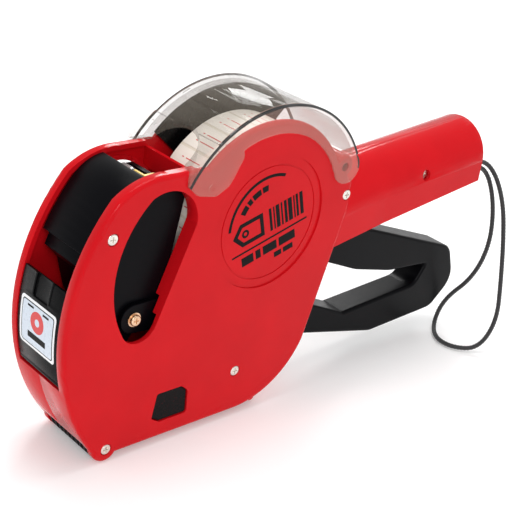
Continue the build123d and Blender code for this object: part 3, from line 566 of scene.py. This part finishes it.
# ------------------------------------------------------------------ selector
# A steel shaft with a fluted black knob on the right side picks a band and turns it.
bright_steel = turned_metal("bright_steel", (0.62, 0.61, 0.60), 0.28, 4200.0)
for shaft in ("selector_shaft", "application_shaft", "feed_shaft", "guide_shaft", "ink_axle", "band_anvil",
              "latch_springs", "return_spring", "label_plate"):
    wear(shaft, bright_steel)
for shaft in ("selector_shaft", "application_shaft", "feed_shaft", "guide_shaft", "label_plate"):
    soften(shaft, 0.0002)
wear("selector_knob", black_abs)
soften("selector_knob", 0.0003)

# ------------------------------------------------------------------ yoke arms and head screws
# Black arms of the lever's front fork, and the brass-plated screws with washers that
# hold the head between them.
wear("yoke_arm_left", head_black)
wear("yoke_arm_right", head_black)
for arm in ("yoke_arm_left", "yoke_arm_right"):
    soften(arm, 0.0003)
brass_plate = turned_metal("brass_plate", (0.80, 0.55, 0.36), 0.22, 5200.0)
wear("yoke_screws", brass_plate)
soften("yoke_screws", 0.00009)

# ------------------------------------------------------------------ squeeze lever
# A one-piece black lever with a long finger loop, moulded in glass-filled nylon with a
# satin skin.
satin_nylon = moulded_plastic("satin_nylon", (0.0016, 0.0016, 0.0024), 0.34, 0.0006, 0.00002, ior=1.17)
wear("trigger_lever", satin_nylon)
soften("trigger_lever", 0.0003)

# ------------------------------------------------------------------ front cover and sticker
# The black front cover is hinged at its foot. A rounded film sticker on it shows, in a thin
# frame on a pale field, an ink roller above a label.
wear("front_cover", black_abs)
soften("front_cover", 0.00022)

sticker_low, sticker_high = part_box("front_sticker")
nose_pivot = Vector((0.022, 0.0, 0.0556))
sticker_radius = 0.0842
sticker_middle_turn = math.radians(180.0)
sticker_half_width = (sticker_high.y - sticker_low.y) / 2
sticker_half_height = 0.0098
sticker_centre_y = (sticker_high.y + sticker_low.y) / 2


def on_front(across, up, lift):
    """A point on the front cover's arc, up being the distance along the arc."""
    a = sticker_middle_turn - up / sticker_radius
    r = sticker_radius + lift
    return nose_pivot + Vector((r * math.cos(a), sticker_centre_y + across, r * math.sin(a)))


def rounded_rows(half_width, half_height, corner, steps=6):
    """Left and right edge points of a rounded rectangle, row by row from its foot."""
    left, right = [], []
    for end in (-1, 1):
        turns = range(steps + 1) if end < 0 else range(steps, -1, -1)
        for i in turns:
            t = math.pi / 2 * i / steps
            rise = half_height - corner + corner * math.cos(t)
            side = half_width - corner + corner * math.sin(t)
            left.append((-side, end * rise))
            right.append((side, end * rise))
    middle = len(left) // 2
    for i in range(1, 8):
        up = (half_height - corner) * (i / 4 - 1)
        left.insert(middle + i - 1, (-half_width, up))
        right.insert(middle + i - 1, (half_width, up))
    return left, right


film_white = moulded_plastic("film_white", (0.86, 0.87, 0.89), 0.28, 0.0004, 0.00001)
film_pale = moulded_plastic("film_pale", (0.62, 0.69, 0.78), 0.28, 0.0004, 0.00001)
film_form = bmesh.new()
film_top, frame_top, field_top = 0.00006, 0.0001, 0.00013
print_depth = 0.00003
ribbon(film_form, *rounded_rows(sticker_half_width, sticker_half_height, 0.0016), on_front, film_top)
sticker_film = make_piece(film_form, "sticker_film", film_white, "front_flap")
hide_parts("front_sticker")


def raised_front(across, up, lift):
    return on_front(across, up, lift + film_top)


frame_form = bmesh.new()
frame_left, frame_right = rounded_rows(sticker_half_width - 0.0011, sticker_half_height - 0.0011, 0.0012)
ribbon(frame_form, frame_left, frame_right, raised_front, frame_top - film_top)
make_piece(frame_form, "sticker_frame", black_ink, "front_flap")


def field_front(across, up, lift):
    return on_front(across, up, lift + frame_top)


field_form = bmesh.new()
field_left, field_right = rounded_rows(sticker_half_width - 0.0015, sticker_half_height - 0.0015, 0.001)
ribbon(field_form, field_left, field_right, field_front, field_top - frame_top)
make_piece(field_form, "sticker_field", film_pale, "front_flap")


def art_front(across, up, lift):
    return on_front(across, up, lift + field_top)


roller_form = bmesh.new()
ring_part(roller_form, (0, 0.0022), 0.0015, 0.0043, 0, 360, art_front, print_depth, 32)
make_piece(roller_form, "sticker_roller", line_red, "front_flap")
tag_form = bmesh.new()
bar(tag_form, (-0.0058, -0.0056), (0.0058, -0.0031), art_front, print_depth)
bar(tag_form, (-0.0068, 0.0066), (-0.0030, 0.0074), art_front, print_depth)
bar(tag_form, (0.0030, 0.0066), (0.0068, 0.0074), art_front, print_depth)
make_piece(tag_form, "sticker_tag", black_ink, "front_flap")

# ------------------------------------------------------------------ inking and label path
# A felt ink roller on a plastic core, a soft rubber application roller with thin discs,
# and a rubber guide roller.
ink_felt, felt_tree, felt_shader = new_finish("ink_felt", 0.95)
felt_fibre = surface_noise(felt_tree, 2200.0, 6.0)
felt_tree.links.new(tinted(felt_tree, felt_fibre, (0.015, 0.013, 0.03), 0.5, 1.8),
                    felt_shader.inputs["Base Color"])
relief(felt_tree, felt_shader, (felt_fibre, 0.0002, 0.7))
wear("ink_roller", ink_felt)
wear("ink_core", white_acetal)
soft_rubber = moulded_plastic("soft_rubber", (0.010, 0.010, 0.011), 0.62, 0.0004, 0.00003, ior=1.25)
for roller in ("application_roller", "guide_roller"):
    wear(roller, soft_rubber)
    soften(roller, 0.0001)

# ------------------------------------------------------------------ base cover and latches
# The flap that the gun stands on, and the two five-cornered buttons that free it, are
# black ABS like the front cover.
for part, width in (("base_cover", 0.0003), ("latch_button_left", 0.0004), ("latch_button_right", 0.0004)):
    wear(part, black_abs)
    soften(part, width)

# ------------------------------------------------------------------ wrist strap
# A limp braided polyester cord, 2.4 mm thick. Both ends go through one hole in the
# handle's end and are crimped together in a ferrule behind it.
strap_diameter = 0.0024
strap_route = [
    (0.1605, -0.0121, 0.08665), (0.1680, -0.0121, 0.08665), (0.1742, -0.0146, 0.0804),
    (0.1730, -0.0216, 0.0676), (0.1708, -0.0255, 0.0500), (0.1695, -0.0210, 0.0310),
    (0.1672, -0.0094, 0.0150), (0.1632, -0.0086, 0.0022), (0.1530, -0.0190, 0.0013),
    (0.1540, -0.0300, 0.0013), (0.1635, -0.0375, 0.0022), (0.1710, -0.0390, 0.0160),
    (0.1710, -0.0360, 0.0360), (0.1715, -0.0315, 0.0570), (0.1730, -0.0260, 0.0720),
    (0.1750, -0.0170, 0.0830), (0.1695, -0.0121, 0.08935), (0.1605, -0.0121, 0.08935)]

strap_curve = bpy.data.curves.new("wrist_cord", "CURVE")
strap_curve.dimensions = "3D"
strap_line = strap_curve.splines.new("NURBS")
strap_line.points.add(len(strap_route) - 1)
for point, spot in zip(strap_line.points, strap_route):
    point.co = (*spot, 1.0)
strap_line.order_u = 3
strap_line.use_endpoint_u = True
strap_line.resolution_u = 12
wrist_cord = bpy.data.objects.new("wrist_cord", strap_curve)
bpy.context.scene.collection.objects.link(wrist_cord)
strap_middle_line = bpy.data.meshes.new_from_object(wrist_cord)
centreline = [v.co.copy() for v in strap_middle_line.vertices]
bpy.data.meshes.remove(strap_middle_line)

strand_radius = 0.00030
cord_core_radius = strap_diameter / 2 - strand_radius
strap_curve.bevel_depth = cord_core_radius
strap_curve.bevel_resolution = 3


def even_steps(line, spacing):
    """Points along a line at an even spacing, with the direction at each."""
    found, left_over = [], 0.0
    for a, b in zip(line, line[1:]):
        run = (b - a).length
        at = left_over
        while at < run:
            found.append((a.lerp(b, at / run), (b - a) / run))
            at += spacing
        left_over = at - run
    return found


def strand(form, stations, sides, phase, direction, carriers):
    """One braid strand that winds round the cord and goes over and under the others."""
    lay_length = 0.0062
    previous = None
    travelled = 0.0
    across = Vector((0.0, 1.0, 0.0))
    last_spot = stations[0][0]
    for spot, ahead in stations:
        travelled += (spot - last_spot).length
        last_spot = spot
        across = (across - ahead * across.dot(ahead)).normalized()
        beside = ahead.cross(across)
        turn = phase + direction * 2 * math.pi * travelled / lay_length
        weave = 0.00009 * math.sin(travelled / lay_length * 2 * math.pi * carriers
                                   + phase * direction * carriers)
        out = across * math.cos(turn) + beside * math.sin(turn)
        round_way = ahead.cross(out)
        middle = spot + out * (cord_core_radius - 0.00004 + weave * direction)
        ring = []
        for i in range(sides):
            a = 2 * math.pi * i / sides
            ring.append(form.verts.new(middle + out * (math.cos(a) * strand_radius * 0.75)
                                       + round_way * (math.sin(a) * strand_radius * 1.5)))
        if previous:
            for i in range(sides):
                j = (i + 1) % sides
                form.faces.new((previous[i], previous[j], ring[j], ring[i]))
        else:
            form.faces.new(ring)
        previous = ring
    form.faces.new(previous)


braid_form = bmesh.new()
strap_stations = even_steps(centreline, 0.0005)
carriers = 4
for i in range(carriers):
    strand(braid_form, strap_stations, 6, 2 * math.pi * i / carriers, 1, carriers)
    strand(braid_form, strap_stations, 6, 2 * math.pi * (i + 0.5) / carriers, -1, carriers)

braid_black, braid_tree, braid_shader = new_finish("braid_black", 0.55)
braid_fibre = surface_noise(braid_tree, 6000.0, 4.0)
braid_tree.links.new(tinted(braid_tree, braid_fibre, (0.012, 0.012, 0.013), 0.6, 2.2),
                     braid_shader.inputs["Base Color"])
braid_shader.inputs["Sheen Weight"].default_value = 0.3
relief(braid_tree, braid_shader, (braid_fibre, 0.00003, 0.5))
strap_curve.materials.append(braid_black)
cord_braid = make_piece(braid_form, "cord_braid", braid_black, "casing", smooth=True)
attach(wrist_cord, "casing")
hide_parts("wrist_strap")
wear("strap_ferrule", bright_steel)
soften("strap_ferrule", 0.0002)
